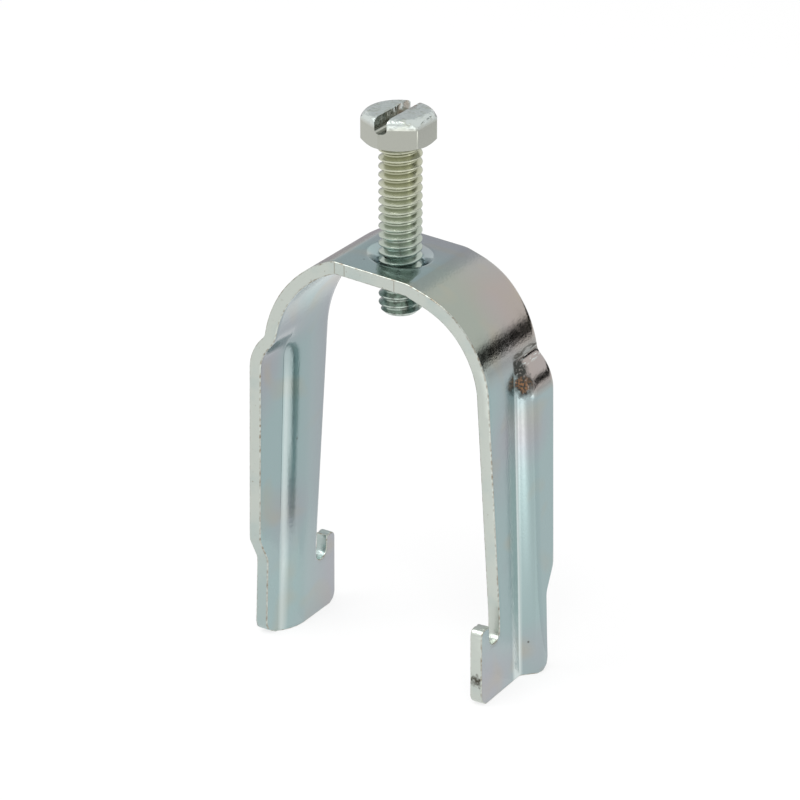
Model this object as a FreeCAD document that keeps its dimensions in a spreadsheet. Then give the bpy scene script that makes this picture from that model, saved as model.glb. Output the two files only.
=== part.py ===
"""Conduit clamp: one folded, zinc-plated steel strap and the slotted hex screw that works in its crown.

The strap is the same after half a turn about the screw. Its lowest edge stands at Z = 0 and the screw's
axis is the Z axis. X runs from leg to leg, and the conduit lies along Y between the legs.
"""
import FreeCAD, Part
import math
import os
import Sketcher

# Every driving size: millimetres, or degrees where the note says so
SIZES = [
    ("sheet_thickness", 1.9, "thickness of the strap's sheet"),
    ("strip_width", 16.4, "width of the strip at the crown"),
    ("strap_height", 63.4, "crown's top above the feet"),
    ("inside_width", 32.0, "clear width between the legs where the arches spring"),
    ("arch_radius", 17.0, "outer radius of each arch"),
    ("crown_half", 6.0, "half the length of the flat crown"),
    ("crown_bend", 3.0, "outer radius where crown and arch meet"),
    ("leg_splay", 1.2, "degrees that each leg leans outwards"),
    ("emboss_depth", 2.45, "how far the stiffened half of a leg stands out"),
    ("emboss_drop", 3.083, "how far below the springing the emboss gains its full depth"),
    ("emboss_dome", 7.0, "outer radius of the emboss's domed upper end"),
    ("jog_place", 1.2, "outer face of the jog, from the middle of the strip"),
    ("jog_round", 1.25, "outer round along the top of the jog"),
    ("jog_root", 0.8, "fillet along the foot of the jog, outside"),
    ("recess_rim", 1.1, "round along the rim of the recess, inside"),
    ("recess_root", 0.8, "fillet along the floor of the recess, inside"),
    ("spring_half", 6.05, "hook-side edge from the middle where the arches spring"),
    ("neck_half", 3.42, "hook-side edge from the middle at the notch"),
    ("notch_width", 2.85, "width of the notch that takes a slot's edge"),
    ("notch_floor", 8.75, "height of the notch's floor"),
    ("notch_round", 1.3, "corner radius of the notch's floor"),
    ("hook_width", 2.25, "width of the standing hook"),
    ("hook_height", 4.15, "hook's tip above the notch's floor"),
    ("hook_round", 0.85, "corner radius of the hook's tip"),
    ("hook_flare", 0.3, "how far the hook's outer edge leans out to the foot"),
    ("heel_round", 1.8, "radius of the foot's corner below the hook"),
    ("foot_half", 6.45, "stiffened edge from the middle at the foot"),
    ("foot_round", 2.4, "radius of the foot's stiffened corner"),
    ("shoulder_half", 6.15, "stiffened edge from the middle just below the shoulder"),
    ("shoulder_low", 12.6, "height of the shoulder's lower end"),
    ("shoulder_high", 16.4, "height of the shoulder's upper end"),
    ("shoulder_round", 2.2, "radius of both bends of the shoulder"),
    ("collar_drop", 2.3, "how far the drawn collar reaches below the sheet"),
    ("collar_wall", 1.25, "wall of the drawn collar"),
    ("collar_root", 0.9, "fillet between collar and sheet"),
    ("funnel_radius", 1.7, "radius of the drawn-in mouth of the hole"),
    ("screw_diameter", 6.2, "outside diameter of the screw's thread"),
    ("screw_clearance", 0.05, "gap between screw and collar, all round"),
    ("screw_length", 25.4, "screw's length under its head"),
    ("screw_stand", 16.6, "head's underside above the crown, as the screw stands"),
    ("screw_tip", 0.7, "chamfer at the screw's tip"),
    ("head_flats", 9.5, "width across the flats of the hex head"),
    ("head_height", 4.5, "height of the hex head"),
    ("head_round", 2.4, "radius that rounds the head's top to its corners"),
    ("head_top", 6.6, "diameter of the flat in the middle of the head's top"),
    ("slot_width", 2.0, "width of the screwdriver slot"),
    ("slot_depth", 2.05, "depth of the screwdriver slot"),
    ("stock", 3.0, "spare stock that the outline cut removes"),
]
NAMES = sorted((entry[0] for entry in SIZES), key=len, reverse=True)

# Formulas that several features share
ARCH_X = "(inside_width / 2 + sheet_thickness - arch_radius)"
ARCH_Z = f"(strap_height - sqrt(arch_radius ^ 2 - (crown_half - {ARCH_X}) ^ 2))"
UNDERSIDE = "(strap_height - sheet_thickness)"
BORE = "(screw_diameter / 2 + screw_clearance)"
HEAD_FOOT = "(strap_height + screw_stand)"
HEAD_TOP = f"({HEAD_FOOT} + head_height)"

# The rounds of the emboss, held to the shares of its depth that leave some wall between them
ROUND_SHARE = 0.6
ROOT_SHARE = 0.38

# How near a point must lie to count as on a face or a corner
NEAR = 0.02

doc = FreeCAD.newDocument("conduit_clamp")
sheet = doc.addObject("Spreadsheet::Sheet", "Sizes")


def fill_sheet():
    """Writes each size and its note to a row of the sheet, under the size's own name."""
    for row, (name, value, note) in enumerate(SIZES, start=1):
        sheet.set(f"A{row}", name)
        sheet.set(f"B{row}", str(value))
        sheet.set(f"C{row}", note)
        sheet.setAlias(f"B{row}", name)
    doc.recompute()


def on_sheet(formula):
    """Turns a formula of size names into an expression on the sheet."""
    for number, name in enumerate(NAMES):
        formula = formula.replace(name, f"@{number}@")
    for number, name in enumerate(NAMES):
        formula = formula.replace(f"@{number}@", f"Sizes.{name}")
    return formula


def value(formula):
    """Works a formula out with the sheet's present sizes."""
    return float(sheet.evalExpression(on_sheet(formula)))


def bind(thing, setting, formula):
    thing.setExpression(setting, on_sheet(formula))


def origin_part(body, role):
    return next(item for item in body.Origin.OriginFeatures if item.Role == role)


def new_sketch(body, name, plane, offset=None):
    """Adds a sketch on an origin plane of the body, moved along the plane's normal by a formula."""
    sketch = body.newObject("Sketcher::SketchObject", name)
    sketch.AttachmentSupport = [(origin_part(body, plane), "")]
    sketch.MapMode = "FlatFace"
    if offset:
        bind(sketch, "AttachmentOffset.Base.z", offset)
    return sketch


def start(element):
    return (element, 1)


def end(element):
    return (element, 2)


def center(element):
    return (element, 3)


def dimension(sketch, kind, where, formula, unit=""):
    """Adds a dimension to a sketch and ties it to a formula."""
    now = value(formula)
    if kind == "Angle":
        now = math.radians(now)
    number = sketch.addConstraint(Sketcher.Constraint(kind, *where, now))
    bind(sketch, f"Constraints[{number}]", f"({formula}){unit}")


def place(sketch, point, across=None, up=None):
    """Ties a point of a sketch to its distances from the sketch's origin."""
    if across is not None:
        dimension(sketch, "DistanceX", (-1, 1, *point), across)
    if up is not None:
        dimension(sketch, "DistanceY", (-1, 1, *point), up)


def rule(sketch, kind, *where):
    sketch.addConstraint(Sketcher.Constraint(kind, *where))


def spot(across, up):
    return FreeCAD.Vector(across, up, 0)


def line(sketch, begin, finish):
    return sketch.addGeometry(Part.LineSegment(spot(*begin), spot(*finish)), False)


def arc(sketch, middle, radius, begin, finish):
    """Draws an arc anticlockwise, from one angle to another in radians."""
    circle = Part.Circle(spot(*middle), FreeCAD.Vector(0, 0, 1), radius)
    return sketch.addGeometry(Part.ArcOfCircle(circle, begin, finish), False)


def polygon(sketch, corners):
    """Draws a closed outline whose corners are pairs of formulas."""
    spots = [(value(across), value(up)) for across, up in corners]
    lines = [line(sketch, one, spots[(k + 1) % len(spots)]) for k, one in enumerate(spots)]
    for k, side in enumerate(lines):
        rule(sketch, "Coincident", *end(side), *start(lines[(k + 1) % len(lines)]))
        place(sketch, start(side), *corners[k])


def feature(body, kind, name, profile, length=None, **settings):
    """Adds a feature made from a sketch, with its length tied to a formula."""
    made = body.newObject(f"PartDesign::{kind}", name)
    made.Profile = profile
    for setting, choice in settings.items():
        setattr(made, setting, choice)
    if length:
        bind(made, "Length", length)
    profile.Visibility = False
    doc.recompute()
    return made


def samples(edge):
    first, last = edge.ParameterRange
    return [edge.valueAt(first + (last - first) * share) for share in (0.0, 0.25, 0.5, 0.75, 1.0)]


def edge_names(shape, wanted):
    """Names the edges whose sampled points all pass a test."""
    return [f"Edge{k}" for k, edge in enumerate(shape.Edges, start=1) if all(map(wanted, samples(edge)))]


def fillet(body, name, base, names, radius):
    """Rounds edges of the body's last feature by a named radius."""
    if not names:
        raise RuntimeError(f"{name} found no edge to round")
    made = body.newObject("PartDesign::Fillet", name)
    made.Base = (base, names)
    bind(made, "Radius", radius)
    doc.recompute()
    return made


def changed(before, after, grows):
    """Makes sure that a feature added or removed material, as it should."""
    if (after.Shape.Volume > before.Shape.Volume) != grows:
        raise RuntimeError(f"{after.Name} did not change the solid as meant")


def arch_frame():
    """Gives the arch's centre, and the leg's outward and downward directions, seen along Y."""
    lean = math.radians(value("leg_splay"))
    middle = FreeCAD.Vector(value(ARCH_X), 0, value(ARCH_Z))
    outward = FreeCAD.Vector(math.cos(lean), 0, math.sin(lean))
    downward = FreeCAD.Vector(math.sin(lean), 0, -math.cos(lean))
    return middle, outward, downward


def proud(point):
    """Tells how far a point stands out from the plain outer face of arch and leg."""
    middle, outward, downward = arch_frame()
    reach = FreeCAD.Vector(point.x, 0, point.z) - middle
    if reach.dot(downward) > 0:
        return reach.dot(outward) - value("arch_radius")
    return reach.Length - value("arch_radius")


def springing(point):
    """Tells whether a point lies on the line where the leg's flat turns into the arch."""
    middle, outward, downward = arch_frame()
    return abs((FreeCAD.Vector(point.x, 0, point.z) - middle).dot(downward)) < NEAR


def draw_section(sketch):
    """Draws half of the bent sheet seen along Y: crown, arch and plain leg."""
    lean = math.radians(value("leg_splay"))
    middle, outward, downward = arch_frame()
    across, up = middle.x, middle.z
    outer, inner = value("arch_radius"), value("arch_radius - sheet_thickness")
    top, under, low = value("strap_height"), value(UNDERSIDE), -value("stock")
    crown = value("crown_half")
    inner_crown = across + math.sqrt(inner ** 2 - (under - up) ** 2)

    def on_leg(radius):
        knee = middle + outward * radius
        foot = knee + downward * ((knee.z - low) / math.cos(lean))
        return (knee.x, knee.z), (foot.x, foot.z)

    outer_knee, outer_foot = on_leg(outer)
    inner_knee, inner_foot = on_leg(inner)
    crown_top = line(sketch, (0, top), (crown, top))
    outer_arch = arc(sketch, (across, up), outer, lean, math.atan2(top - up, crown - across))
    outer_leg = line(sketch, outer_knee, outer_foot)
    foot = line(sketch, outer_foot, inner_foot)
    inner_leg = line(sketch, inner_foot, inner_knee)
    inner_arch = arc(sketch, (across, up), inner, lean, math.atan2(under - up, inner_crown - across))
    crown_under = line(sketch, (inner_crown, under), (0, under))
    middle_line = line(sketch, (0, under), (0, top))
    rule(sketch, "Coincident", *end(crown_top), *end(outer_arch))
    rule(sketch, "Tangent", *start(outer_arch), *start(outer_leg))
    rule(sketch, "Coincident", *end(outer_leg), *start(foot))
    rule(sketch, "Coincident", *end(foot), *start(inner_leg))
    rule(sketch, "Tangent", *end(inner_leg), *start(inner_arch))
    rule(sketch, "Coincident", *end(inner_arch), *start(crown_under))
    rule(sketch, "Coincident", *end(crown_under), *start(middle_line))
    rule(sketch, "Coincident", *end(middle_line), *start(crown_top))
    rule(sketch, "Coincident", *center(inner_arch), *center(outer_arch))
    rule(sketch, "Parallel", inner_leg, outer_leg)
    rule(sketch, "Horizontal", foot)
    place(sketch, start(crown_top), "0", "strap_height")
    place(sketch, end(crown_top), "crown_half", "strap_height")
    place(sketch, end(crown_under), "0", UNDERSIDE)
    place(sketch, start(crown_under), None, UNDERSIDE)
    place(sketch, center(outer_arch), ARCH_X)
    place(sketch, start(foot), None, "-stock")
    dimension(sketch, "Radius", (outer_arch,), "arch_radius")
    dimension(sketch, "Radius", (inner_arch,), "arch_radius - sheet_thickness")
    dimension(sketch, "Angle", (outer_leg,), "leg_splay - 90", " * 1 deg")


def within(radius, share):
    """Holds a round of the emboss to a share of the emboss's depth."""
    return f"min({radius}; emboss_depth * {share})"


def draw_emboss(sketch, face, dome, back):
    """Draws a domed slab along the leg: its face stands off the arch's centre, its back lies behind it.

    face, dome and back are formulas: the face's distance from the arch's centre, the radius of the domed
    upper end, and the slab's thickness.
    """
    lean = math.radians(value("leg_splay"))
    middle, outward, downward = arch_frame()
    low = -value("stock")
    knee_z = f"({ARCH_Z} - emboss_drop + ({face} - arch_radius - emboss_depth) * sin(leg_splay * 1 deg))"
    along = (middle.z + outward.z * value(face) - value(knee_z)) / math.cos(lean)
    knee = middle + outward * value(face) + downward * along
    pivot = knee - outward * value(dome)
    toe = knee + downward * ((knee.z - low) / math.cos(lean))
    swing = math.acos(1 - value(back) / value(dome))
    behind = pivot + (outward * math.cos(swing) - downward * math.sin(swing)) * value(dome)
    heel = behind + downward * ((behind.z - low) / math.cos(lean))
    front = line(sketch, (knee.x, knee.z), (toe.x, toe.z))
    foot = line(sketch, (toe.x, toe.z), (heel.x, heel.z))
    rear = line(sketch, (heel.x, heel.z), (behind.x, behind.z))
    cap = arc(sketch, (pivot.x, pivot.z), value(dome), lean, lean + swing)
    guide = sketch.addGeometry(Part.Point(spot(middle.x, middle.z)), True)
    rule(sketch, "Tangent", *start(cap), *start(front))
    rule(sketch, "Coincident", *end(front), *start(foot))
    rule(sketch, "Coincident", *end(foot), *start(rear))
    rule(sketch, "Coincident", *end(rear), *end(cap))
    rule(sketch, "Parallel", rear, front)
    rule(sketch, "Horizontal", foot)
    place(sketch, start(guide), ARCH_X, ARCH_Z)
    place(sketch, start(foot), None, "-stock")
    place(sketch, start(front), None, knee_z)
    dimension(sketch, "Angle", (front,), "leg_splay - 90", " * 1 deg")
    dimension(sketch, "Distance", (*start(guide), front), face)
    dimension(sketch, "Distance", (*start(rear), front), back)
    dimension(sketch, "Radius", (cap,), dome)


def leg_outline():
    """Lists the corners of a leg seen along X, with the hook on the side of -Y, as pairs of formulas."""
    hook_in = "-(neck_half + notch_width)"
    hook_out = "-(neck_half + notch_width + hook_width)"
    hook_tip = "(notch_floor + hook_height)"
    return {
        "hook_side_top": ("-strip_width / 2", "strap_height + stock"),
        "hook_side_crown": ("-strip_width / 2", UNDERSIDE),
        "hook_side_springing": ("-spring_half", ARCH_Z),
        "neck": ("-neck_half", hook_tip),
        "notch_inside": ("-neck_half", "notch_floor"),
        "notch_outside": (hook_in, "notch_floor"),
        "tip_inside": (hook_in, hook_tip),
        "tip_outside": (hook_out, hook_tip),
        "heel": (f"{hook_out} - hook_flare", "0"),
        "foot": ("foot_half", "0"),
        "shoulder_low": ("shoulder_half", "shoulder_low"),
        "shoulder_high": ("strip_width / 2", "shoulder_high"),
        "stiff_side_top": ("strip_width / 2", "strap_height + stock"),
    }


def corner_names(shape, corners):
    """Names the straight edges through the sheet at corners of the leg's outline."""
    spots = [(value(across), value(up)) for across, up in corners]

    def at_corner(point):
        return any(abs(point.y - y) < NEAR and abs(point.z - z) < NEAR for y, z in spots)

    return edge_names(shape, at_corner)


def make_leg_half(body):
    """Builds half of the strap, up to the middle of the crown: bent, embossed and cut to its outline."""
    width = "strip_width + 2 * stock"
    section = new_sketch(body, "bent_section", "XZ_Plane")
    draw_section(section)
    bent = feature(body, "Pad", "bent_sheet", section, width, SideType="Symmetric")

    def at_crown_bend(point):
        return abs(point.x - value("crown_half")) < NEAR and abs(point.z - value("strap_height")) < NEAR

    bend = fillet(body, "crown_bend_round", bent, edge_names(bent.Shape, at_crown_bend), "crown_bend")

    boss = new_sketch(body, "emboss_section", "XZ_Plane", "-jog_place")
    slab = "(emboss_depth + sheet_thickness / 2)"
    draw_emboss(boss, "(arch_radius + emboss_depth)", "emboss_dome", slab)
    emboss = feature(body, "Pad", "emboss", boss, "strip_width / 2 + stock - jog_place", Reversed=True)
    changed(bend, emboss, grows=True)
    hollow = new_sketch(body, "recess_section", "XZ_Plane", "-(jog_place + sheet_thickness)")
    recess_face = "(arch_radius + emboss_depth - sheet_thickness)"
    recess_dome = "(emboss_dome - sheet_thickness)"
    draw_emboss(hollow, recess_face, recess_dome, slab)
    recess_length = "strip_width / 2 + stock - jog_place - sheet_thickness"
    recess = feature(body, "Pocket", "emboss_recess", hollow, recess_length)
    changed(emboss, recess, grows=False)

    wall_out = value("jog_place")
    wall_in = value("jog_place + sheet_thickness")
    thick = value("sheet_thickness")
    edge_side = value("strip_width / 2 + stock")

    def jog_top(point):
        return abs(point.y - wall_out) < NEAR and proud(point) > -NEAR

    def jog_top_only(shape):
        names = edge_names(shape, jog_top)
        return [name for name in names if proud(samples(shape.getElement(name))[2]) > NEAR]

    def recess_floor(point):
        return abs(point.y - wall_in) < NEAR and proud(point) > -thick - NEAR

    def recess_floor_only(shape):
        names = edge_names(shape, recess_floor)
        return [name for name in names if proud(samples(shape.getElement(name))[2]) > NEAR - thick]

    def rim(shape, level, inner_side):
        """Names the rim of the jog on one plain face, without the sheet's own borders."""
        names = edge_names(shape, lambda point: abs(proud(point) - level) < NEAR)
        kept = []
        for name in names:
            spots = samples(shape.getElement(name))
            beside = all(point.y > inner_side - value("stock") for point in spots)
            border = all(abs(point.y - edge_side) < NEAR for point in spots)
            low = all(point.z < NEAR - value("stock") for point in spots)
            if beside and not border and not low and not all(map(springing, spots)):
                kept.append(name)
        return kept

    top = fillet(body, "jog_top_round", recess, jog_top_only(recess.Shape), within("jog_round", ROUND_SHARE))
    floor_edges = recess_floor_only(top.Shape)
    floor = fillet(body, "recess_floor_round", top, floor_edges, within("recess_root", ROOT_SHARE))
    foot_edges = rim(floor.Shape, 0.0, wall_out)
    foot = fillet(body, "jog_foot_round", floor, foot_edges, within("jog_root", ROOT_SHARE))
    lip_edges = rim(foot.Shape, -thick, wall_in)
    lip = fillet(body, "recess_rim_round", foot, lip_edges, within("recess_rim", ROUND_SHARE))

    outline = new_sketch(body, "leg_outline", "YZ_Plane")
    border = "(strip_width / 2 + 2 * stock)"
    above, below = "strap_height + 2 * stock", "-2 * stock"
    polygon(outline, [(f"-{border}", below), (border, below), (border, above), (f"-{border}", above)])
    corners = leg_outline()
    polygon(outline, list(corners.values()))
    cut = feature(body, "Pocket", "outline_cut", outline, None, Type="ThroughAll", Reversed=True)
    changed(lip, cut, grows=False)

    last = cut
    rounds = {
        "notch_round": ("notch_inside", "notch_outside"),
        "hook_round": ("tip_inside", "tip_outside"),
        "heel_round": ("heel",),
        "foot_round": ("foot",),
        "shoulder_round": ("shoulder_low", "shoulder_high"),
    }
    for radius, places in rounds.items():
        names = corner_names(last.Shape, [corners[key] for key in places])
        last = fillet(body, f"{radius}_feature", last, names, radius)
    return last


def make_collar(body, base):
    """Draws the tapped collar down through the crown, with its funnel mouth."""
    collar_edge = f"({BORE} + collar_wall)"
    collar_low = f"({UNDERSIDE} - collar_drop)"
    wall = new_sketch(body, "collar_section", "XZ_Plane")
    inside_sheet = f"{UNDERSIDE} + sheet_thickness / 2"
    polygon(wall, [
        ("0", collar_low),
        (collar_edge, collar_low),
        (collar_edge, inside_sheet),
        ("0", inside_sheet),
    ])
    collar = feature(body, "Revolution", "collar", wall, ReferenceAxis=(wall, ["V_Axis"]))
    changed(base, collar, grows=True)

    def at_root(point):
        reach = math.hypot(point.x, point.y)
        return abs(reach - value(collar_edge)) < NEAR and abs(point.z - value(UNDERSIDE)) < NEAR

    root = fillet(body, "collar_root_round", collar, edge_names(collar.Shape, at_root), "collar_root")
    mouth = new_sketch(body, "hole_section", "XZ_Plane")
    bore, low, high = value(BORE), value(f"{collar_low} - stock"), value("strap_height + stock")
    top, round_off = value("strap_height"), value("funnel_radius")
    floor = line(mouth, (0, low), (bore, low))
    side = line(mouth, (bore, low), (bore, top - round_off))
    funnel = arc(mouth, (bore + round_off, top - round_off), round_off, math.pi / 2, math.pi)
    rise = line(mouth, (bore + round_off, top), (bore + round_off, high))
    lid = line(mouth, (bore + round_off, high), (0, high))
    axis = line(mouth, (0, high), (0, low))
    rule(mouth, "Coincident", *end(floor), *start(side))
    rule(mouth, "Tangent", *end(side), *end(funnel))
    rule(mouth, "Coincident", *start(funnel), *start(rise))
    rule(mouth, "Coincident", *end(rise), *start(lid))
    rule(mouth, "Coincident", *end(lid), *start(axis))
    rule(mouth, "Coincident", *end(axis), *start(floor))
    rule(mouth, "Horizontal", lid)
    rule(mouth, "Vertical", side)
    rule(mouth, "Vertical", rise)
    place(mouth, start(floor), "0", f"{collar_low} - stock")
    place(mouth, end(floor), BORE, f"{collar_low} - stock")
    place(mouth, start(axis), "0", "strap_height + stock")
    place(mouth, start(funnel), f"{BORE} + funnel_radius", "strap_height")
    dimension(mouth, "Radius", (funnel,), "funnel_radius")
    hole = feature(body, "Groove", "funnel_hole", mouth, ReferenceAxis=(mouth, ["V_Axis"]))
    changed(root, hole, grows=False)
    return hole


def make_strap():
    """Builds the strap: one half, turned half a turn to give the other, and the collar between them."""
    body = doc.addObject("PartDesign::Body", "strap")
    half = make_leg_half(body)
    whole = body.newObject("PartDesign::PolarPattern", "both_halves")
    whole.TransformMode = "Whole shape"
    whole.Axis = (origin_part(body, "Z_Axis"), [""])
    whole.Angle = 360
    whole.Occurrences = 2
    whole.Refine = True
    body.Tip = whole
    doc.recompute()
    changed(half, whole, grows=True)
    make_collar(body, whole)
    return body


def make_screw():
    """Builds the slotted hex-head screw, its thread left as a plain cylinder of the thread's diameter."""
    body = doc.addObject("PartDesign::Body", "clamp_screw")
    shank = new_sketch(body, "shank_section", "XZ_Plane")
    tip = f"({HEAD_FOOT} - screw_length)"
    radius = "screw_diameter / 2"
    polygon(shank, [
        ("0", tip),
        (f"{radius} - screw_tip", tip),
        (radius, f"{tip} + screw_tip"),
        (radius, f"{HEAD_FOOT} + head_height / 2"),
        ("0", f"{HEAD_FOOT} + head_height / 2"),
    ])
    turned = feature(body, "Revolution", "shank", shank, ReferenceAxis=(shank, ["V_Axis"]))
    hexagon = new_sketch(body, "hex_outline", "XY_Plane", HEAD_FOOT)
    side, corner = "head_flats / 2", "head_flats / sqrt(3)"
    polygon(hexagon, [
        ("0", corner),
        (f"-{side}", f"{corner} / 2"),
        (f"-{side}", f"-{corner} / 2"),
        ("0", f"-{corner}"),
        (side, f"-{corner} / 2"),
        (side, f"{corner} / 2"),
    ])
    head = feature(body, "Pad", "hex_head", hexagon, "head_height")
    changed(turned, head, grows=True)

    dome = new_sketch(body, "head_round_section", "XZ_Plane")
    flat, round_off, top = value("head_top / 2"), value("head_round"), value(HEAD_TOP)
    out = value("head_flats")
    cap = arc(dome, (flat, top - round_off), round_off, 0.0, math.pi / 2)
    lower = line(dome, (flat + round_off, top - round_off), (out, top - round_off))
    outer = line(dome, (out, top - round_off), (out, top))
    upper = line(dome, (out, top), (flat, top))
    rule(dome, "Coincident", *start(cap), *start(lower))
    rule(dome, "Coincident", *end(lower), *start(outer))
    rule(dome, "Coincident", *end(outer), *start(upper))
    rule(dome, "Coincident", *end(upper), *end(cap))
    place(dome, center(cap), "head_top / 2", f"{HEAD_TOP} - head_round")
    place(dome, end(cap), "head_top / 2", HEAD_TOP)
    place(dome, start(outer), "head_flats", f"{HEAD_TOP} - head_round")
    place(dome, end(outer), "head_flats", HEAD_TOP)
    rule(dome, "Horizontal", lower)
    rounded = feature(body, "Groove", "head_top_round", dome, ReferenceAxis=(dome, ["V_Axis"]))
    changed(head, rounded, grows=False)

    slot = new_sketch(body, "slot_section", "XZ_Plane")
    half, floor, over = "slot_width / 2", f"{HEAD_TOP} - slot_depth", f"{HEAD_TOP} + slot_depth"
    polygon(slot, [(f"-{half}", floor), (half, floor), (half, over), (f"-{half}", over)])
    slotted = feature(body, "Pocket", "driver_slot", slot, "2 * head_flats", SideType="Symmetric")
    changed(rounded, slotted, grows=False)
    return body


def check(bodies):
    """Stops if any object of the document failed or a piece is not one valid solid."""
    for thing in doc.Objects:
        if "Invalid" in thing.State or "Error" in thing.State:
            raise RuntimeError(f"{thing.Name} failed: {thing.State}")
    for body in bodies:
        shape = body.Shape
        if shape.isNull() or not shape.isValid() or len(shape.Solids) != 1:
            raise RuntimeError(f"{body.Label} is not one valid solid")


def main():
    fill_sheet()
    bodies = [make_strap(), make_screw()]
    doc.recompute()
    check(bodies)
    os.makedirs("parts", exist_ok=True)
    for body in bodies:
        body.Shape.exportStep(f"parts/{body.Label}.step")
        box = body.Shape.BoundBox
        print(f"{body.Label}: {body.Shape.Volume:.1f} mm3, Z {box.ZMin:.2f} to {box.ZMax:.2f}")


main()
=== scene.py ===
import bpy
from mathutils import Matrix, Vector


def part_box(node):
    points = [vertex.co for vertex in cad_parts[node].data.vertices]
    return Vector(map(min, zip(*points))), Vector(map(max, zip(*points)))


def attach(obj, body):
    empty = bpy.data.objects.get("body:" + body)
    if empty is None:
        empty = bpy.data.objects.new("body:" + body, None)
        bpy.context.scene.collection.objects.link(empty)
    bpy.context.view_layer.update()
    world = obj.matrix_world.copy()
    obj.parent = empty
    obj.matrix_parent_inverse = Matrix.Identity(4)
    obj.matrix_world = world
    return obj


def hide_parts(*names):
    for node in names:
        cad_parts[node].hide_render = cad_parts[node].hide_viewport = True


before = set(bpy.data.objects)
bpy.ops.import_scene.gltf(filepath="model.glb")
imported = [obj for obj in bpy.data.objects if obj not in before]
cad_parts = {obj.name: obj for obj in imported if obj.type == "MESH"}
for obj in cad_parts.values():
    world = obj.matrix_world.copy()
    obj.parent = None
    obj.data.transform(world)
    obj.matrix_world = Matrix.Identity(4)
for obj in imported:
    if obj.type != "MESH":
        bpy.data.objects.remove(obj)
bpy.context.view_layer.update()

import functools
import math
from types import SimpleNamespace

import bmesh
import bpy
from mathutils import Matrix, Vector

bl_info = {
    "name": "Conduit Clamp",
    "version": (1, 0, 0),
    "blender": (4, 5, 0),
    "location": "View3D > Sidebar > Clamp",
    "description": "Models a zinc-plated conduit clamp: its folded strap, its screw and a studio stage",
    "category": "Object",
}

MM = 0.001
# Vertices closer than SAME_SPOT are merged, and those within NEAR of a line or a plane count as on it
SAME_SPOT = 0.0005 * MM
NEAR = 0.02 * MM
JOG_COLUMNS = 16
ROUND_STEPS = 96
STRAP_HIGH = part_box("strap")[1]
SCREW_LOW, SCREW_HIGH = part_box("clamp_screw")


def linear(hex_colour):
    """Turns an sRGB hex value into linear red, green, blue and alpha."""
    channels = [int(hex_colour[place:place + 2], 16) / 255 for place in (1, 3, 5)]
    curved = [c / 12.92 if c <= 0.04045 else ((c + 0.055) / 1.055) ** 2.4 for c in channels]
    return (*curved, 1.0)


def length(name, description, millimetres):
    """Describes a size that a user may change."""
    return bpy.props.FloatProperty(
        name=name, description=description, default=millimetres * MM, min=0.0, precision=5, unit="LENGTH")


def angle(name, description, degrees):
    """Describes an angle that a user may change."""
    return bpy.props.FloatProperty(
        name=name, description=description, default=math.radians(degrees), subtype="ANGLE")


def colour(name, description, hex_colour):
    """Describes a colour that a user may change."""
    return bpy.props.FloatVectorProperty(
        name=name, description=description, default=linear(hex_colour), size=4, min=0.0, max=1.0,
        subtype="COLOR")


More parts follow.
